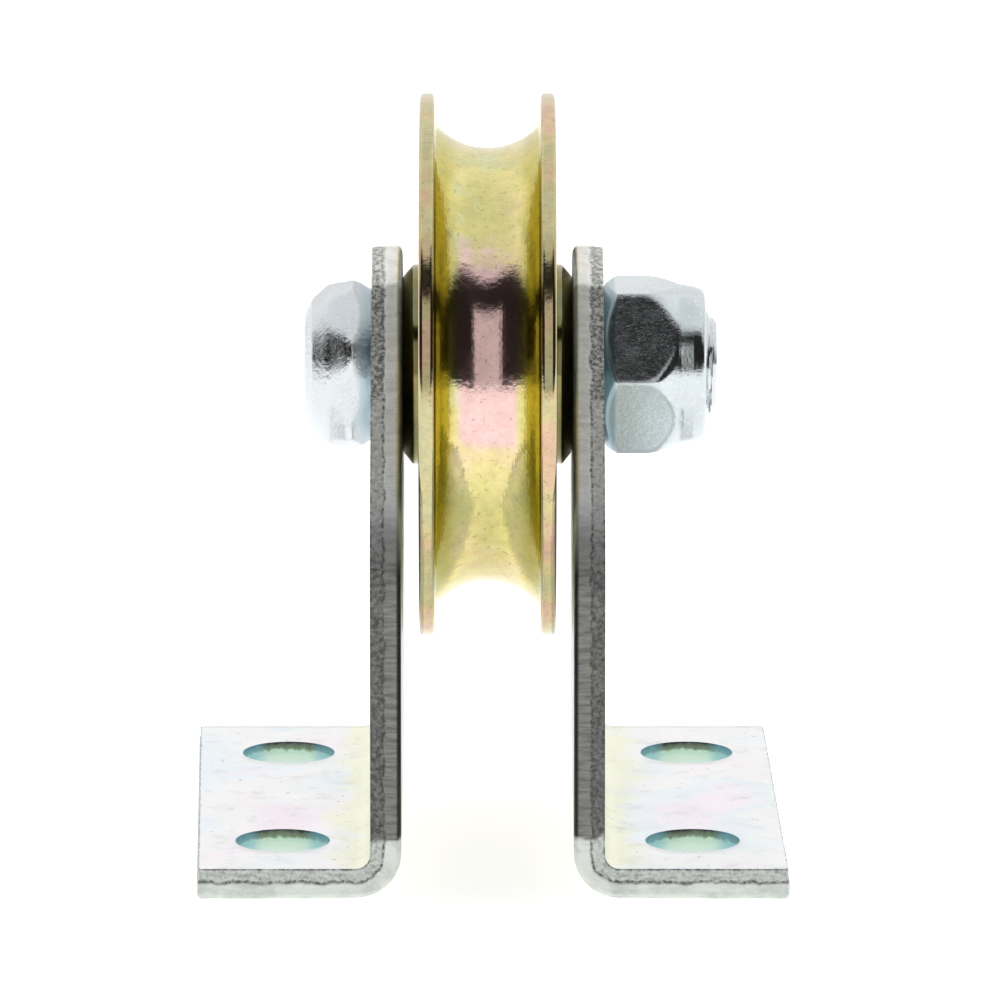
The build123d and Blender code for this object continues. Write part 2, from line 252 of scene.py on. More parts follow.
def make_bolt():
    """The bolt: a forged head with soft corners, a plain shank and a helical thread."""
    seat, thread_start = -PLATE_OUTER, BOLT_TIP - THREAD_LENGTH
    bevel_length, bevel_depth = 1.5, 1.7
    pole = 0.4  # the smallest ring, closed by a fan of triangles
    steps_in_pitch = 14
    head = outline([
        (HEAD_FACE, pole, 0), (HEAD_FACE, 7.6, 2.0), (HEAD_FACE + 1.2, 9.9, 1.2),
        (HEAD_FACE + 3.4, 11.8, 2.5), (seat - 3.8, 12.5, 2.0), (seat - 2.8, 13.1, 0.4),
        (seat, 11.0, 0.2), (seat, BOLT_RADIUS, 0),
    ], 0.3, closed=False)
    shank = outline([(seat, BOLT_RADIUS, 0), (thread_start, BOLT_RADIUS, 0)], 2.0, closed=False)
    thread = [(x, THREAD_CREST)
              for x in np.arange(thread_start, BOLT_TIP - 0.01, PITCH / steps_in_pitch)]
    tip = outline([(BOLT_TIP, BOLT_RADIUS - bevel_depth, 0), (BOLT_TIP, pole, 0)], 0.5, closed=False)

    def shape(x, r, angles):
        if x <= seat:
            hexagon = hexagon_radius(angles, ACROSS_FLATS, HEAD_TURN)
            return soft_min(np.full_like(angles, r), hexagon, 0.5)
        if x <= thread_start or r < BOLT_RADIUS - 1.5:
            return np.full_like(angles, r)
        fade = min(1.0, (x - thread_start) / PITCH)
        cut = THREAD_CREST - fade * (THREAD_CREST - helix_radius(x, angles))
        bevel = BOLT_RADIUS - bevel_depth * max(0.0, x - (BOLT_TIP - bevel_length)) / bevel_length
        return soft_min(cut, np.full_like(angles, bevel), 0.1)

    profile = np.vstack([head, shank[1:], thread, tip])
    bolt = turned("bolt", profile, shape, closed=False)
    dent(bolt, 0.08, 2.6, lambda x, y, z: x < seat - 0.4)
    return bolt


def make_nut():
    """The lock nut: chamfered seat, crowned hexagon and the rolled collar."""
    seat, bore, lip = PLATE_OUTER, 8.1, 9.3
    hex_end, crown = seat + 11.3, seat + 7.2
    over_corner = ACROSS_FLATS / 2 / math.cos(math.pi / 6) + 0.25
    insert_end = NUT_FACE - 0.8
    insert_start = insert_end - 2.9
    insert_outer = BOLT_RADIUS + 0.05 + INSERT_WALL
    corners = [
        (seat, bore, 0.3), (seat, 11.4, 0.2), (seat + 2.1, over_corner, 0.3),
        (crown, over_corner, 6.5), (hex_end - 0.25, 11.95, 0.15), (hex_end + 0.1, 11.85, 0.1),
        (hex_end + 2.0, 11.5, 1.5), (NUT_FACE, 10.9, 1.25), (NUT_FACE, lip, 0.35),
        (insert_end, lip, 0), (insert_end, insert_outer, 0), (insert_start, insert_outer, 0),
        (insert_start, bore, 0.2),
    ]

    def shape(x, r, angles):
        if r < 11.0 or x > hex_end + 0.3:
            return np.full_like(angles, r)
        return soft_min(np.full_like(angles, r), hexagon_radius(angles, ACROSS_FLATS, 0.0), 0.6)

    return turned("nut", outline(corners, 0.3), shape)


def make_insert():
    """The nylon ring in the nut's collar, close round the thread."""
    end = NUT_FACE - 0.82
    start, inner = end - 2.85, BOLT_RADIUS + 0.03
    outer = inner + INSERT_WALL
    corners = [(start, inner, 0.1), (start, outer, 0.1), (end, outer, 0.1), (end, inner, 0.35)]
    return turned("nut_insert", outline(corners, 0.25))


def make_shield(name, node, side):
    """A pressed shield: flat, with a rolled bead at its outer edge and a dished lip inside."""
    low, high = box_mm(node)
    face = max(abs(low.x), abs(high.x))
    inner, outer = 14.7, high.y
    corners = [
        (face - 0.75, inner, 0.15), (face - 0.4, inner, 0.15), (face - 0.35, inner + 1.0, 0.5),
        (face, inner + 1.5, 0.4), (face, outer - 1.5, 0.4), (face - 0.3, outer - 1.1, 0.3),
        (face - 0.05, outer - 0.4, 0.3), (face - 0.2, outer, 0.15), (face - 0.8, outer, 0.1),
        (face - 0.8, outer - 1.0, 0.2), (face - 0.45, outer - 1.7, 0.3),
        (face - 0.45, inner + 1.7, 0.3), (face - 0.78, inner + 1.2, 0.3),
    ]
    return turned(name, outline([(side * x, r, bend) for x, r, bend in corners], 0.3))


# ---- Brackets -----------------------------------------------------------

class Bracket:
    """The right bracket as a flat blank, u along the sheet from the bend, v along Y, then bent."""
    inner_bend = 2.2
    outer_bend = inner_bend + SHEET
    bend_length = (outer_bend - SHEET / 2) * math.pi / 2
    bend_x = PLATE_INNER + outer_bend
    slant = 0.85  # how much further out the foot's end is at its front corner, and nearer at its back
    foot_reach = FOOT_FAR - slant
    shoulder_drop, shoulder_round = 17.0, 20.0
    axle_hole, foot_hole = 8.5, 6.75
    hole_x, hole_y = 30.0, 27.5

    @classmethod
    def u_of_height(cls, z):
        """The u of a point that stands at that height once bent."""
        return cls.bend_length + z - cls.outer_bend

    @classmethod
    def bend(cls, u, v, w):
        """Where a point of the blank lies once bent. w is the depth from the wheel's side of the sheet."""
        if u < 0:
            return cls.bend_x - u, v, w
        if u < cls.bend_length:
            angle = u / cls.bend_length * math.pi / 2
            radius = cls.outer_bend - w
            across, up = radius * math.sin(angle), radius * math.cos(angle)
            return cls.bend_x - across, v, cls.outer_bend - up
        return PLATE_INNER + w, v, cls.outer_bend + u - cls.bend_length


def blank_loops():
    """The blank's outline and its three holes as loops of (u, v) points, and the holes themselves."""
    half, drop = HALF_BRACKET, Bracket.shoulder_drop
    slope = math.asin(EYE / math.hypot(half, drop)) + math.atan2(drop, half)
    apex = AXLE_Z + EYE / math.cos(slope)
    shoulder = Bracket.u_of_height(AXLE_Z - drop)
    front_end = Bracket.bend_x - (Bracket.foot_reach + Bracket.slant)
    back_end = Bracket.bend_x - (Bracket.foot_reach - Bracket.slant)
    foot_round = 0.8
    loops = [outline([
        (front_end, -half, foot_round), (shoulder, -half, Bracket.shoulder_round),
        (Bracket.u_of_height(apex), 0, EYE), (shoulder, half, Bracket.shoulder_round),
        (back_end, half, foot_round),
    ], EDGE_STEP)]
    holes = [(Bracket.u_of_height(AXLE_Z), 0, Bracket.axle_hole)]
    holes += [(Bracket.bend_x - Bracket.hole_x, side * Bracket.hole_y, Bracket.foot_hole)
              for side in (-1, 1)]
    for u, v, radius in holes:
        around = np.linspace(0, -2 * math.pi, HOLE_STEPS, endpoint=False)
        loops.append(np.column_stack([u + radius * np.cos(around), v + radius * np.sin(around)]))
    return loops, holes


def encloses(loop, u, v):
    """Whether a loop goes round the point."""
    after = np.roll(loop, -1, axis=0)
    crosses = (loop[:, 1] > v) != (after[:, 1] > v)
    rise = np.where(after[:, 1] == loop[:, 1], 1.0, after[:, 1] - loop[:, 1])
    at = loop[:, 0] + (v - loop[:, 1]) * (after[:, 0] - loop[:, 0]) / rise
    return bool(np.count_nonzero(crosses & (u < at)) % 2)


def outward(loop):
    """The unit normals of a loop that runs anticlockwise round the metal, pointing out of it."""
    along = np.roll(loop, -1, axis=0) - np.roll(loop, 1, axis=0)
    along /= np.linalg.norm(along, axis=1)[:, None]
    return np.column_stack([along[:, 1], -along[:, 0]])


def sheared_edge(u, run, is_hole, seed):
    """A cut edge's section: rows of (inset, depth, roll, fracture) from the wheel's side out.

    run is the distance along the edge. The roll is narrow on the foot, and widens over the bend to
    the upright plate.
    """
    if is_hole:
        roll_depth, roll_inset, tear, grit, extra_burnish = 0.55, 0.4, 0.03, 0.03, 0.5
    else:
        roll_depth, roll_inset = 0.8, 0.7 + 0.6 * clamp((u + 8) / 14)
        tear, grit, extra_burnish = 0.10, 0.12, 0.0
    wave = noise.noise((run * 0.35, seed, 0.0)) + 0.6 * noise.noise((run * 1.3, seed, 4.0))
    burnish = 2.35 + 0.45 * wave + extra_burnish
    roll_steps, burnish_steps, torn_steps = 6, 6, 12
    rows = []
    for k in range(roll_steps + 1):
        turn = k / roll_steps * math.pi / 2
        roll = 1.0 if k < 5 else 0.6 if k == 5 else 0.0
        inset, depth = roll_inset * (1 - math.sin(turn)), roll_depth * (1 - math.cos(turn))
        rows.append((inset, depth, roll, 0.0))
    for k in range(1, burnish_steps + 1):
        depth = roll_depth + (burnish - roll_depth) * k / burnish_steps
        score = noise.noise((run * 4.0, depth * 0.25, seed))
        rows.append((0.012 * score + 0.012, depth, 0.0, 0.0))
    top = SHEET - 0.12
    for k in range(1, torn_steps + 1):
        depth = burnish + (top - burnish) * k / torn_steps
        torn = tear * (1 + 1.6 * (depth - burnish) / (top - burnish))
        coarse = noise.noise((run * 1.7, depth * 1.7, seed + 9))
        grain = coarse + 0.6 * noise.noise((run * 4.5, depth * 4.0, seed))
        fracture = min(1.0, k / 3, (torn_steps + 2 - k) / 3)
        rows.append((max(0.01, torn + grit * grain), depth, 0.0, fracture))
    last = rows[-1][0]
    rows.append((last + 0.03, SHEET - 0.04, 0.0, 0.5))
    rows.append((last + 0.09, SHEET, 0.0, 0.5))
    return rows


def lighter_foot_and_highlight_at(x, y, z, rise):
    """How much lighter the cut edge is drawn: fully by the foot, and as a painted highlight on the round
    top and partly on slopes, where the edge faces up.

    rise is how far the edge faces along u, from -1 to 1. On the upright plate that is up.
    """
    foot_top, slope_share = 9.2, 0.48
    wave = noise.noise((x * 0.9, y * 0.3, z * 0.4))
    low = clamp((foot_top + 0.7 * wave - z) / 0.5)
    # The round top and the slopes: a painted highlight on edges that face up.
    top = clamp((rise - 0.76 + 0.02 * wave) / 0.05) if z > AXLE_Z else 0.0
    slope = slope_share * clamp((rise - 0.2) / 0.4)
    return max(low, top, slope)


def blank_inside(outer, holes):
    """The blank's inner points: rows between the ends, closer over the bend, clear of every edge."""
    clear, clear_of_hole, clear_of_bend = 2.0, 1.3, 0.7
    rows = list(np.arange(outer[:, 0].min() + clear, -clear_of_bend, BLANK_STEP_U))
    rows += [Bracket.bend_length * k / BEND_STEPS for k in range(BEND_STEPS + 1)]
    rows += list(np.arange(Bracket.bend_length + BLANK_STEP_U, outer[:, 0].max() - clear, BLANK_STEP_U))
    inside = []
    for u in rows:
        for v in np.arange(-HALF_BRACKET + clear, HALF_BRACKET - clear + 0.01, BLANK_STEP_V):
            near_hole = any(math.hypot(u - hole_u, v - hole_v) < radius + clear_of_hole
                            for hole_u, hole_v, radius in holes)
            near_edge = np.min(np.hypot(outer[:, 0] - u, outer[:, 1] - v)) < clear - 0.02
            if encloses(outer, u, v) and not near_hole and not near_edge:
                inside.append(Vector((u, v)))
    return inside


def blank_triangles(flat, links, loops):
    """Triangles over the blank's metal, as indices of its flat points."""
    out_points, _, out_faces, originals, _, _ = delaunay_2d_cdt(flat, links, [], 0, 1e-6)
    if len(out_points) != len(flat):
        raise RuntimeError(f"the blank's points merged: {len(flat)} became {len(out_points)}")

    def in_metal(face):
        u = sum(out_points[i][0] for i in face) / 3
        v = sum(out_points[i][1] for i in face) / 3
        return encloses(loops[0], u, v) and not any(encloses(loop, u, v) for loop in loops[1:])

    return [tuple(originals[i][0] for i in face) for face in out_faces if in_metal(face)]


def make_bracket(name, turned_round, seed):
    """A stamped bracket, with rolled, burnished and torn bands round every cut edge."""
    face_slot, edge_slot, hole_slot = 0, 1, 2
    loops, holes = blank_loops()
    flat, links, loop_ranges = [], [], []
    for loop in loops:
        first = len(flat)
        flat += [Vector(p) for p in loop]
        loop_ranges.append((first, len(flat)))
        links += [(first + i, first + (i + 1) % len(loop)) for i in range(len(loop))]
    flat += blank_inside(loops[0], holes)
    triangles = blank_triangles(flat, links, loops)

    sections = {}
    points, roll, fracture, lighter_foot_and_highlight = [], [], [], []
    for number, (loop, (first, _)) in enumerate(zip(loops, loop_ranges)):
        normals = outward(loop)
        steps = np.linalg.norm(np.roll(loop, -1, axis=0) - loop, axis=1)
        run = np.concatenate([[0], np.cumsum(steps)[:-1]])
        for i in range(len(loop)):
            section = sheared_edge(loop[i][0], run[i], number > 0, seed + 7 * number)
            for inset, depth, rolled, torn in section:
                u, v = loop[i] - normals[i] * inset
                points.append(Bracket.bend(u, v, depth))
                roll.append(rolled)
                lighter_foot_and_highlight.append(lighter_foot_and_highlight_at(*points[-1], normals[i][0]))
                # Above the axle the painted highlight also fades the torn band.
                highlight_washout = 0.75 * lighter_foot_and_highlight[-1] if points[-1][2] >= AXLE_Z else 0.0
                fracture.append(torn * (1 - highlight_washout))
            sections[first + i] = (len(points) - len(section), len(points) - 1)
    height = len(section)
    faces, face_slots = [], []
    for first, last in loop_ranges:
        size = last - first
        for i in range(size):
            a, b = sections[first + i][0], sections[first + (i + 1) % size][0]
            for k in range(height - 1):
                faces.append((a + k, b + k, b + k + 1, a + k + 1))
                face_slots.append(hole_slot if first else edge_slot)
    under, upper = {}, {}
    for i, point in enumerate(flat):
        if i in sections:
            under[i], upper[i] = sections[i]
        else:
            for side, depth in ((under, 0.0), (upper, SHEET)):
                side[i] = len(points)
                points.append(Bracket.bend(point.x, point.y, depth))
                roll.append(0.0)
                fracture.append(0.0)
                lighter_foot_and_highlight.append(1.0)
    for a, b, c in triangles:
        faces.append((under[a], under[c], under[b]))
        faces.append((upper[a], upper[b], upper[c]))
        face_slots += [face_slot, face_slot]
    points = np.array(points)
    if turned_round:
        points[:, :2] *= -1
    piece = mesh_piece(name, points, faces, 42)
    for label, values in (("roll", roll), ("fracture", fracture), ("lighter_foot_and_highlight", lighter_foot_and_highlight)):
        layer = piece.data.attributes.new(label, "FLOAT", "POINT")
        layer.data.foreach_set("value", values)
    piece.data.polygons.foreach_set("material_index", face_slots)
    return piece


# ---- Materials ----------------------------------------------------------

def new_material(name, base, metallic, roughness):
    """A Principled material, its own node tree and its shader."""
    material = bpy.data.materials.new(name)
    material.use_nodes = True
    tree = material.node_tree
    shader = tree.nodes["Principled BSDF"]
    shader.inputs["Base Color"].default_value = (*base, 1)
    shader.inputs["Metallic"].default_value = metallic
    shader.inputs["Roughness"].default_value = roughness
    return material, tree, shader


def node(tree, kind, **settings):
    """A node of that kind, with settings for its sockets or its own properties."""
    made = tree.nodes.new(kind)
    for label, value in settings.items():
        if label in made.inputs:
            made.inputs[label].default_value = value
        else:
            setattr(made, label, value)
    return made


def noise_at(tree, per_mm, detail=3.0, roughness=0.55, stretch=(1, 1, 1)):
    """Noise whose grain is given per millimetre, over the object's own coordinates."""
    coordinates = node(tree, "ShaderNodeTexCoord")
    mapping = node(tree, "ShaderNodeMapping")
    mapping.inputs["Scale"].default_value = [per_mm * s / MM for s in stretch]
    tree.links.new(coordinates.outputs["Object"], mapping.inputs["Vector"])
    texture = node(tree, "ShaderNodeTexNoise", Scale=1.0, Detail=detail, Roughness=roughness)
    tree.links.new(mapping.outputs["Vector"], texture.inputs["Vector"])
    return texture.outputs["Fac"]


def ramp(tree, factor, stops):
    """A colour or value ramp over factor. stops is (position, colour or grey) pairs."""
    made = node(tree, "ShaderNodeValToRGB")
    elements = made.color_ramp.elements
    while len(elements) < len(stops):
        elements.new(0.5)
    for element, (position, colour) in zip(elements, stops):
        element.position = position
        element.color = (*colour, 1) if isinstance(colour, tuple) else (colour, colour, colour, 1)
    tree.links.new(factor, made.inputs["Fac"])
    return made.outputs["Color"]


def mix(tree, factor, low, high, blend_type="MIX"):
    """A mix of two outputs or colours by a factor, which is an output or a number."""
    made = node(tree, "ShaderNodeMix", data_type="RGBA", blend_type=blend_type)
    for value, socket in ((factor, made.inputs[0]), (low, made.inputs[6]), (high, made.inputs[7])):
        if isinstance(value, (int, float)):
            socket.default_value = value
        elif isinstance(value, tuple):
            socket.default_value = (*value, 1)
        else:
            tree.links.new(value, socket)
    return made.outputs[2]


def scaled(colour, share):
    """A colour times a share."""
    return tuple(share * c for c in colour)


def add_bump(tree, shader, height, depth_mm, strength):
    """Bump of a height output, its depth in millimetres, on top of any bump already there."""
    bump = node(tree, "ShaderNodeBump")
    bump.inputs["Strength"].default_value = strength
    bump.inputs["Distance"].default_value = depth_mm * MM
    tree.links.new(height, bump.inputs["Height"])
    if shader.inputs["Normal"].links:
        tree.links.new(shader.inputs["Normal"].links[0].from_socket, bump.inputs["Normal"])
    tree.links.new(bump.outputs["Normal"], shader.inputs["Normal"])


def attribute(tree, label):
    """A value that the mesh carries at its points."""
    return node(tree, "ShaderNodeAttribute", attribute_name=label).outputs["Fac"]


def clear_zinc():
    """Clear zinc plate on rolled sheet: pale, with faint pink, green and blue films, and painted shade on
    the upright plate.
    """
    material, tree, shader = new_material("clear_zinc", (0.86, 0.87, 0.86), 1.0, 0.34)
    film = ramp(tree, noise_at(tree, 0.045, 2.0), [
        (0.30, (0.99, 0.87, 0.94)), (0.42, (0.97, 0.95, 0.95)), (0.52, (0.95, 0.96, 0.94)),
        (0.60, (0.88, 0.94, 0.97)), (0.72, (0.99, 0.90, 0.96))])
    near_bend = calculate(tree, "ADD", coordinate(tree, "X", fold=True),
                          calculate(tree, "MULTIPLY", noise_at(tree, 0.12, 3.0), 12.0))
    on_foot = between(tree, coordinate(tree, "Z"), 9.0, 6.0)
    tint = calculate(tree, "MULTIPLY", between(tree, near_bend, 29.5, 25.0), on_foot)
    film = mix(tree, tint, film, (0.96, 0.97, 0.76))
    # Painted shade: the upright plate is drawn darker than the foot.
    upright = between(tree, coordinate(tree, "Z"), 6.0, 14.0)
    shade = mix(tree, upright, (1.0, 1.0, 1.0), (0.83, 0.855, 0.87))
    film = mix(tree, 1.0, film, shade, "MULTIPLY")
    smudge = ramp(tree, noise_at(tree, 0.22, 5.0, 0.7), [(0.54, 0.0), (0.72, 0.75)])
    colour = mix(tree, smudge, film, (0.70, 0.71, 0.72))
    fleck = ramp(tree, noise_at(tree, 0.8, 4.0, 0.75), [(0.665, 0.0), (0.70, 1.0)])
    colour = mix(tree, fleck, colour, (0.22, 0.22, 0.24))
    tree.links.new(colour, shader.inputs["Base Color"])
    gloss = ramp(tree, noise_at(tree, 0.16, 4.0), [(0.3, 0.27), (0.7, 0.42)])
    tree.links.new(gloss, shader.inputs["Roughness"])
    add_bump(tree, shader, noise_at(tree, 0.12, 2.0), 0.10, 0.5)
    add_bump(tree, shader, noise_at(tree, 2.2, 5.0, 0.65), 0.02, 0.6)
    scratch = ramp(tree, noise_at(tree, 1.0, 1.0, 0.5, (6.0, 0.09, 1.0)),
                   [(0.46, 1.0), (0.5, 0.0), (0.54, 1.0)])
    add_bump(tree, shader, scratch, 0.006, 0.15)
    return material


def coordinate(tree, axis, centre_mm=0.0, fold=False):
    """A point's place along an axis in millimetres from the centre, as a distance if folded."""
    coordinates = node(tree, "ShaderNodeTexCoord")
    split = node(tree, "ShaderNodeSeparateXYZ")
    tree.links.new(coordinates.outputs["Object"], split.inputs[0])
    output = split.outputs[axis]
    if fold:
        output = calculate(tree, "ABSOLUTE", output)
    return calculate(tree, "SUBTRACT", calculate(tree, "DIVIDE", output, MM), centre_mm)


def calculate(tree, operation, *values):
    """One step of arithmetic on outputs or numbers."""
    made = node(tree, "ShaderNodeMath", operation=operation)
    for value, socket in zip(values, made.inputs):
        if isinstance(value, (int, float)):
            socket.default_value = value
        else:
            tree.links.new(value, socket)
    return made.outputs[0]


def between(tree, value, start, end):
    """Rises smoothly from 0 to 1 as the value goes from start to end."""
    made = node(tree, "ShaderNodeMapRange", interpolation_type="SMOOTHSTEP")
    made.inputs["From Min"].default_value = start
    made.inputs["From Max"].default_value = end
    tree.links.new(value, made.inputs["Value"])
    return made.outputs["Result"]


def torn_line(tree):
    """The dark line where the burnished band turns into the torn one."""
    torn = attribute(tree, "fracture")
    return calculate(tree, "MULTIPLY", calculate(tree, "MULTIPLY", torn, 4.0),
                     calculate(tree, "SUBTRACT", 1.0, torn))


def cut_zinc():
    """The bracket's cut edge: rolled, burnished and torn bands; lighter by the foot, with a painted
    highlight on top.
    """
    burnish, torn = (0.275, 0.27, 0.255), (0.27, 0.27, 0.26)
    material, tree, shader = new_material("cut_edge_zinc", burnish, 1.0, 0.4)
    fracture = attribute(tree, "fracture")
    lines = noise_at(tree, 1.2, 4.0, 0.7, (0.12, 1.0, 1.0))
    smooth = mix(tree, ramp(tree, lines, [(0.38, 0.0), (0.58, 1.0)]), scaled(burnish, 0.55), burnish)
    grain = noise_at(tree, 1.6, 5.0, 0.7)
    rough = mix(tree, ramp(tree, grain, [(0.38, 0.0), (0.62, 1.0)]), scaled(torn, 0.38), torn)
    dark_edge = mix(tree, fracture, smooth, rough)
    # Painted shade: the rolled band is drawn near black.
    dark_edge = mix(tree, attribute(tree, "roll"), dark_edge, (0.022, 0.027, 0.032))
    streaks = noise_at(tree, 0.5, 4.0, 0.7, (0.5, 1.0, 1.0))
    clean = ramp(tree, streaks, [(0.36, 0.80), (0.56, 1.0)])
    gritty = ramp(tree, grain, [(0.34, 0.58), (0.54, 0.92)])
    # The lighter edge colour turns darker and greener towards the bottom.
    lower_darkening = mix(tree, between(tree, coordinate(tree, "Z"), 20.0, AXLE_Z),
                 (0.77, 0.81, 0.76), (1.0, 1.0, 0.97))
    light_edge = mix(tree, 1.0, mix(tree, fracture, clean, gritty), lower_darkening, "MULTIPLY")
    # Lighter by the foot; on the top edges and slopes, a painted highlight.
    colour = mix(tree, attribute(tree, "lighter_foot_and_highlight"), dark_edge, light_edge)
    edge = calculate(tree, "MULTIPLY", torn_line(tree), ramp(tree, grain, [(0.42, 0.9), (0.60, 0.15)]))
    tree.links.new(mix(tree, edge, colour, (0.09, 0.09, 0.08)), shader.inputs["Base Color"])
    tree.links.new(mix(tree, fracture, (0.46, 0.46, 0.46), (0.58, 0.58, 0.58)), shader.inputs["Roughness"])
    add_bump(tree, shader, lines, 0.04, 0.7)
    add_bump(tree, shader, grain, 0.12, 0.8)
    return material


def hole_zinc():
    """A punched hole's wall: dark at the mouth, then mint green, and blue towards the sides."""
    material, tree, shader = new_material("hole_wall_zinc", (0.5, 0.7, 0.6), 0.25, 0.5)
    wave = calculate(tree, "MULTIPLY", noise_at(tree, 0.9, 4.0, 0.7), 1.4)
    height = calculate(tree, "ADD", coordinate(tree, "Z"), wave)
    wall = ramp(tree, calculate(tree, "DIVIDE", height, 6.0), [
        (0.30, (0.92, 1.0, 0.90)), (0.64, (0.80, 1.0, 0.80)), (0.70, (0.28, 0.36, 0.22)),
        (0.79, (0.20, 0.23, 0.16)), (0.85, (0.05, 0.06, 0.05))])
    off_centre = calculate(tree, "ABSOLUTE", coordinate(tree, "X", Bracket.hole_x, fold=True))
    side = between(tree, off_centre, 2.8, 5.2)
    blue = mix(tree, 0.55, wall, (0.24, 0.62, 0.78))
    tree.links.new(mix(tree, side, wall, blue), shader.inputs["Base Color"])
    add_bump(tree, shader, noise_at(tree, 1.4, 4.0, 0.7), 0.08, 0.8)
    return material


def forged_zinc(name, tint, grain_depth, side, painted_seat_shade):
    """Blue-white zinc plate: grainy on the forged part on that side, with painted shade, a darker teal,
    where it meets a plate.
    """
    material, tree, shader = new_material(name, tint, 1.0, 0.15)
    patch = ramp(tree, noise_at(tree, 0.14, 3.0), [(0.35, scaled(tint, 0.92)), (0.65, tint)])
    speck = ramp(tree, noise_at(tree, 1.6, 4.0, 0.7), [(0.56, 0.0), (0.70, 1.0)])
    colour = mix(tree, speck, patch, (0.82, 0.84, 0.85))
    from_middle = coordinate(tree, "X", fold=True)
    # Painted shade where the piece meets the plate.
    painted_shade_at_seat = between(tree, from_middle, PLATE_OUTER + 2.0, PLATE_OUTER + 1.4)
    tree.links.new(mix(tree, painted_shade_at_seat, colour, painted_seat_shade), shader.inputs["Base Color"])
    gloss = ramp(tree, noise_at(tree, 0.5, 4.0), [(0.3, 0.09), (0.7, 0.17)])
    tree.links.new(gloss, shader.inputs["Roughness"])
    forged = between(tree, coordinate(tree, "X"), side * HALF_WHEEL, side * PLATE_OUTER)
    grain = calculate(tree, "MULTIPLY", noise_at(tree, 1.7, 4.0, 0.65), forged)
    add_bump(tree, shader, grain, grain_depth, 1.0)
    return material


def yellow_zinc(name, share=1.0):
    """Yellow chromate on turned steel: gold and olive films, with rose on the rims and in the groove, and
    painted shade, a darker olive, on the groove walls.

    A share below 1 darkens it all, as painted shade.
    """
    material, tree, shader = new_material(name, (0.80, 0.68, 0.28), 1.0, 0.2)
    gold = ramp(tree, noise_at(tree, 0.06, 3.0, 0.6), [
        (0.34, (0.88, 0.70, 0.42)), (0.44, (0.82, 0.70, 0.32)), (0.52, (0.76, 0.69, 0.27)),
        (0.60, (0.70, 0.70, 0.38)), (0.70, (0.86, 0.66, 0.48))])
    from_middle = coordinate(tree, "X", fold=True)
    # Painted shade: the groove walls are drawn a darker olive.
    wall = calculate(tree, "MULTIPLY", between(tree, from_middle, 4.0, 6.5),
                     between(tree, from_middle, 9.9, 9.3))
    gold = mix(tree, wall, gold, (0.66, 0.57, 0.14))
    ahead = calculate(tree, "MULTIPLY", coordinate(tree, "Y"), -1.0)
    turn = calculate(tree, "ARCTAN2", coordinate(tree, "Z", AXLE_Z), ahead)
    rose_count, rose_turn = 3.0, 0.26
    from_rose = calculate(tree, "SUBTRACT", turn, rose_turn)
    lobe = calculate(tree, "COSINE", calculate(tree, "MULTIPLY", from_rose, rose_count))
    patchy = calculate(tree, "MULTIPLY", noise_at(tree, 0.12, 3.0, 0.6), 1.6)
    rose = between(tree, calculate(tree, "ADD", lobe, patchy), 0.75, 1.25)
    middle = between(tree, from_middle, 5.0, 3.4)
    film = mix(tree, calculate(tree, "MULTIPLY", middle, rose), gold, (0.88, 0.60, 0.565))
    out = calculate(tree, "SQRT", calculate(
        tree, "ADD", calculate(tree, "POWER", coordinate(tree, "Y"), 2.0),
        calculate(tree, "POWER", coordinate(tree, "Z", AXLE_Z), 2.0)))
    rim_film = ramp(tree, noise_at(tree, 0.09, 3.0, 0.7), [
        (0.40, (0.72, 0.50, 0.34)), (0.50, (0.66, 0.56, 0.29)), (0.60, (0.60, 0.56, 0.32))])
    film = mix(tree, between(tree, out, RIM - 1.2, RIM - 0.5), film, rim_film)
    film = mix(tree, 1.0, film, (share, share, share), "MULTIPLY")
    mottle = ramp(tree, noise_at(tree, 0.45, 5.0, 0.7),
                  [(0.40, (0.88, 0.88, 0.86)), (0.60, (1.0, 1.0, 1.0))])
    film = mix(tree, 1.0, film, mottle, "MULTIPLY")
    speck = ramp(tree, noise_at(tree, 1.3, 5.0, 0.75), [(0.57, 0.0), (0.67, 0.60)])
    tree.links.new(mix(tree, speck, film, (0.24, 0.21, 0.15)), shader.inputs["Base Color"])
    gloss = ramp(tree, noise_at(tree, 0.25, 4.0), [(0.3, 0.08), (0.7, 0.16)])
    tree.links.new(gloss, shader.inputs["Roughness"])
    section = node(tree, "ShaderNodeCombineXYZ")
    tree.links.new(coordinate(tree, "X"), section.inputs["X"])
    tree.links.new(out, section.inputs["Y"])
    rings = node(tree, "ShaderNodeTexNoise", Scale=2.6, Detail=3.0)
    tree.links.new(section.outputs[0], rings.inputs["Vector"])
    add_bump(tree, shader, rings.outputs["Fac"], 0.014, 0.7)
    in_groove = between(tree, from_middle, 9.9, 8.5)
    grain = calculate(tree, "MULTIPLY", noise_at(tree, 0.9, 4.0, 0.6),
                      calculate(tree, "MAXIMUM", in_groove, 0.2))
    add_bump(tree, shader, grain, 0.04, 0.8)
    return material


def ground_steel(name, tint, roughness, grain=1.5, depth=0.01):
    """Bare ground or pressed steel with a fine grain and slightly uneven gloss."""
    material, tree, shader = new_material(name, tint, 1.0, roughness)
    stain = ramp(tree, noise_at(tree, 0.3, 3.0), [(0.35, scaled(tint, 0.86)), (0.65, tint)])
    tree.links.new(stain, shader.inputs["Base Color"])
    gloss = ramp(tree, noise_at(tree, 0.8, 4.0), [(0.3, roughness * 0.8), (0.7, roughness * 1.3)])
    tree.links.new(gloss, shader.inputs["Roughness"])
    add_bump(tree, shader, noise_at(tree, grain, 4.0, 0.6), depth, 0.6)
    return material


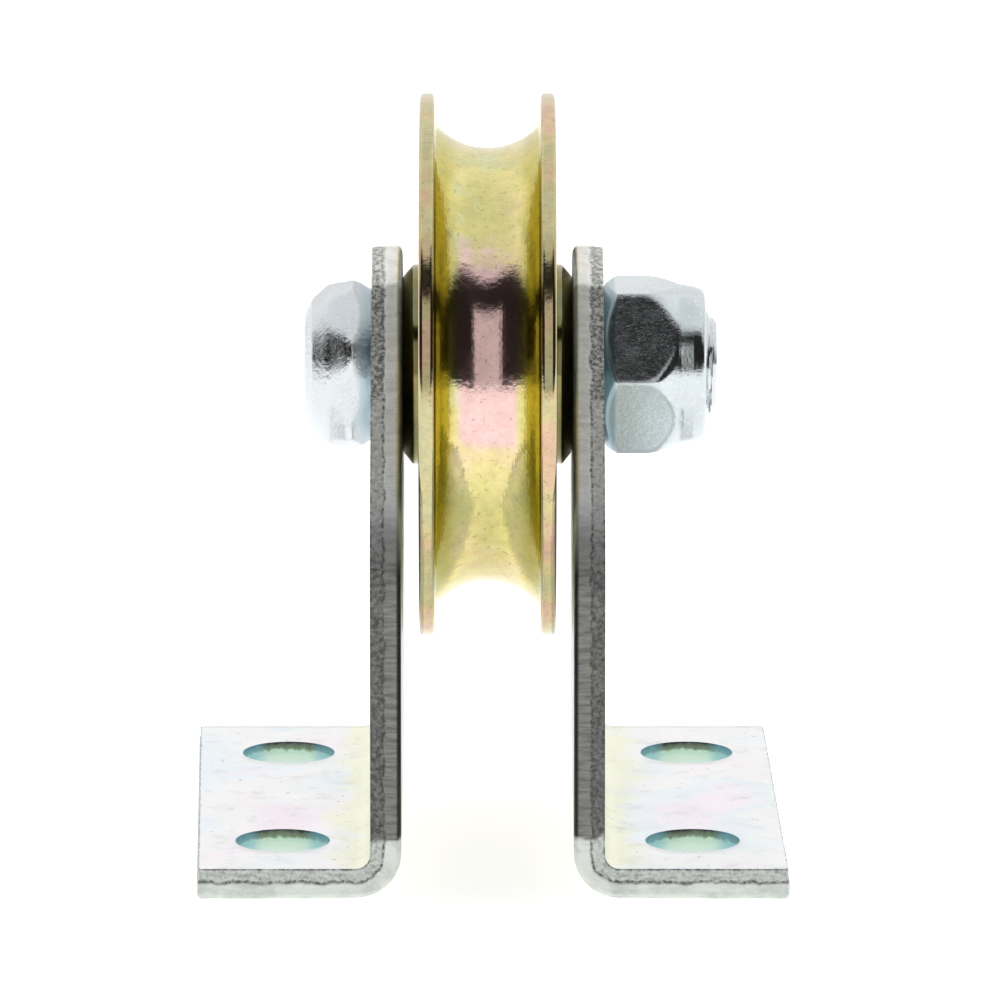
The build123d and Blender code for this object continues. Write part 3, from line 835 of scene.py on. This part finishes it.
def nylon():
    """Natural nylon: milky, a little translucent, finely marked."""
    material, tree, shader = new_material("nylon", (0.86, 0.86, 0.80), 0.0, 0.42)
    cloud = ramp(tree, noise_at(tree, 0.5, 3.0),
                 [(0.3, (0.80, 0.80, 0.74)), (0.7, (0.89, 0.89, 0.85))])
    tree.links.new(cloud, shader.inputs["Base Color"])
    shader.inputs["Subsurface Weight"].default_value = 0.35
    shader.inputs["Subsurface Scale"].default_value = 1.2 * MM
    add_bump(tree, shader, noise_at(tree, 2.0, 3.0), 0.02, 0.5)
    return material


def wear(piece, *materials):
    """Puts the materials in a piece's slots."""
    piece.data.materials.clear()
    for material in materials:
        piece.data.materials.append(material)


def take_place(piece, body, slot_name, *replaced):
    """Puts a piece on its body, in the place of the CAD nodes that it stands for."""
    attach(piece, body)
    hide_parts(*replaced)


# ---- Assembly -----------------------------------------------------------

sheet_face = clear_zinc()
plate_edge = cut_zinc()
hole_wall = hole_zinc()
for bracket_name, bracket_node, flipped, bracket_seed in (
        ("bracket_right", "right_bracket", False, 3.0), ("bracket_left", "left_bracket", True, 41.0)):
    bracket = make_bracket(bracket_name, flipped, bracket_seed)
    for material in (sheet_face, plate_edge, hole_wall):
        bracket.data.materials.append(material)
    take_place(bracket, "frame", "bracket_zinc", bracket_node)

wheel = make_wheel()
wear(wheel, yellow_zinc("yellow_zinc_wheel"))
take_place(wheel, "wheel", "wheel_yellow_zinc", "wheel_body")

# The spacers wear the wheel's yellow zinc darkened to 0.36: painted shade for their place between plate
# and wheel.
spacer_painted_shade_finish = yellow_zinc("yellow_zinc_spacer_painted_shade", 0.36)
for spacer_name, spacer_node, spacer_side in (
        ("spacer_left", "left_spacer", -1), ("spacer_right", "right_spacer", 1)):
    spacer = make_spacer(spacer_name, spacer_node, spacer_side)
    wear(spacer, spacer_painted_shade_finish)
    take_place(spacer, "frame", "spacer_yellow_zinc", spacer_node)

bolt = make_bolt()
# The last colour is the painted shade where the head meets the plate.
wear(bolt, forged_zinc("forged_zinc_bolt", (0.72, 0.75, 0.76), 0.10, -1, (0.60, 0.68, 0.70)))
take_place(bolt, "frame", "bolt_zinc", "axle_bolt")

nut = make_nut()
# The last colour is the painted shade where the nut meets the plate.
wear(nut, forged_zinc("forged_zinc_nut", (0.66, 0.71, 0.72), 0.035, 1, (0.38, 0.48, 0.50)))
take_place(nut, "frame", "nut_zinc", "lock_nut")

insert = make_insert()
wear(insert, nylon())
take_place(insert, "frame", "insert_nylon", "lock_nut_insert")

shield_finish = ground_steel("shield_steel", (0.66, 0.66, 0.65), 0.32)
for shield_name, shield_node, shield_side in (
        ("shield_left", "bearing_shield_left", -1), ("shield_right", "bearing_shield_right", 1)):
    shield = make_shield(shield_name, shield_node, shield_side)
    wear(shield, shield_finish)
    take_place(shield, "wheel", "shield_steel", shield_node)

ring_steel = ground_steel("bearing_steel", (0.70, 0.70, 0.70), 0.18, 3.0, 0.004)
wear(NODES["bearing_outer_ring"], ring_steel)
wear(NODES["bearing_inner_ring"], ring_steel)
wear(NODES["bearing_balls"], ground_steel("ball_steel", (0.78, 0.78, 0.79), 0.06, 4.0, 0.001))
cage_steel = ground_steel("cage_steel", (0.60, 0.58, 0.54), 0.38, 1.5, 0.015)
for cage_node in ("bearing_cage_left", "bearing_cage_right", "bearing_cage_rivets"):
    wear(NODES[cage_node], cage_steel)
wear(NODES["retaining_ring"], ground_steel("black_spring_steel", (0.10, 0.10, 0.105), 0.42, 2.0, 0.01))


# ---- Floor, light and camera -------------------------------------------

def make_floor():
    """A plain pale floor that the feet stand on."""
    mesh = bpy.data.meshes.new("floor")
    side, drop = 3.0, 0.00002  # in metres; the drop keeps the feet's undersides clear of the floor
    corners = [(-side, -side, -drop), (side, -side, -drop), (side, side, -drop), (-side, side, -drop)]
    mesh.from_pydata(corners, [], [(0, 1, 2, 3)])
    floor = bpy.data.objects.new("floor", mesh)
    bpy.context.scene.collection.objects.link(floor)
    material, _, shader = new_material("floor_white", (0.92, 0.92, 0.92), 0.0, 0.7)
    shader.inputs["Specular IOR Level"].default_value = 0.1
    shader.inputs["Emission Color"].default_value = (1, 1, 1, 1)
    shader.inputs["Emission Strength"].default_value = 0.64
    floor.data.materials.append(material)


def add_area(name, place_m, aim_m, size, power):
    """A soft rectangular light, in metres and watts."""
    light = bpy.data.lights.new(name, "AREA")
    light.shape = "RECTANGLE"
    light.size, light.size_y = size
    light.energy = power
    lamp = bpy.data.objects.new(name, light)
    lamp.location = place_m
    lamp.rotation_euler = (Vector(aim_m) - Vector(place_m)).to_track_quat("-Z", "Y").to_euler()
    bpy.context.scene.collection.objects.link(lamp)


def make_world():
    """White to the camera. In reflections, a bright room, dimmer overhead, with a dark wall in front.

    The wall is on the side that the photograph was taken from, and a grey panel hangs in it.
    """
    room_white, overhead_grey = (0.97, 0.97, 0.98), (0.75, 0.77, 0.80)
    wall_black, panel_grey = (0.022, 0.020, 0.020), (0.63, 0.63, 0.63)
    world = bpy.data.worlds.new("studio")
    bpy.context.scene.world = world
    world.use_nodes = True
    tree = world.node_tree
    tree.nodes.clear()
    direction = node(tree, "ShaderNodeTexCoord").outputs["Generated"]
    split = node(tree, "ShaderNodeSeparateXYZ")
    tree.links.new(direction, split.inputs[0])

    sides = calculate(tree, "MULTIPLY", calculate(tree, "POWER", split.outputs["X"], 4.0), 0.62)
    low_enough = between(tree, calculate(tree, "ADD", split.outputs["Z"], sides), 0.86, 0.80)
    facing = between(tree, split.outputs["Y"], 0.30, 0.08)
    wall = calculate(tree, "MULTIPLY", low_enough, facing)
    overhead = between(tree, split.outputs["Z"], 0.60, 0.95)
    room = mix(tree, wall, mix(tree, overhead, room_white, overhead_grey), wall_black)
    sideways = calculate(tree, "ABSOLUTE", split.outputs["X"])
    panel = calculate(tree, "MULTIPLY", between(tree, sideways, 0.42, 0.34),
                      between(tree, split.outputs["Z"], 0.65, 0.60))
    room = mix(tree, calculate(tree, "MULTIPLY", panel, wall), room, panel_grey)
    sky = node(tree, "ShaderNodeBackground", Strength=1.0)
    tree.links.new(room, sky.inputs["Color"])
    white = node(tree, "ShaderNodeBackground", Strength=1.0)
    white.inputs["Color"].default_value = (1, 1, 1, 1)
    chooser = node(tree, "ShaderNodeMixShader")
    tree.links.new(node(tree, "ShaderNodeLightPath").outputs["Is Camera Ray"], chooser.inputs[0])
    tree.links.new(sky.outputs[0], chooser.inputs[1])
    tree.links.new(white.outputs[0], chooser.inputs[2])
    output = node(tree, "ShaderNodeOutputWorld")
    tree.links.new(chooser.outputs[0], output.inputs["Surface"])


def make_camera():
    """A long lens in front of the wheel and a little above it, as in the photograph."""
    distance, elevation = 1.77, math.radians(11.7)  # metres, radians
    right_of_axle, below_axle = 0.0011, 0.0193  # where the camera aims, in metres
    axle = Vector((0, 0, AXLE_Z * MM))
    up = Vector((0, math.sin(elevation), math.cos(elevation)))
    data = bpy.data.cameras.new("camera")
    data.lens = 436.4
    data.sensor_width = 36.0
    data.clip_end = 20
    camera = bpy.data.objects.new("camera", data)
    camera.location = axle + distance * Vector((0, -math.cos(elevation), math.sin(elevation)))
    target = axle + Vector((right_of_axle, 0, 0)) - below_axle * up
    camera.rotation_euler = (target - camera.location).to_track_quat("-Z", "Y").to_euler()
    bpy.context.scene.collection.objects.link(camera)
    bpy.context.scene.camera = camera


make_floor()
make_world()
add_area("overhead", (0.0, 0.30, 1.20), (0, 0.05, 0.05), (2.2, 1.6), 1.4)
make_camera()
bpy.context.scene.view_settings.view_transform = "Standard"
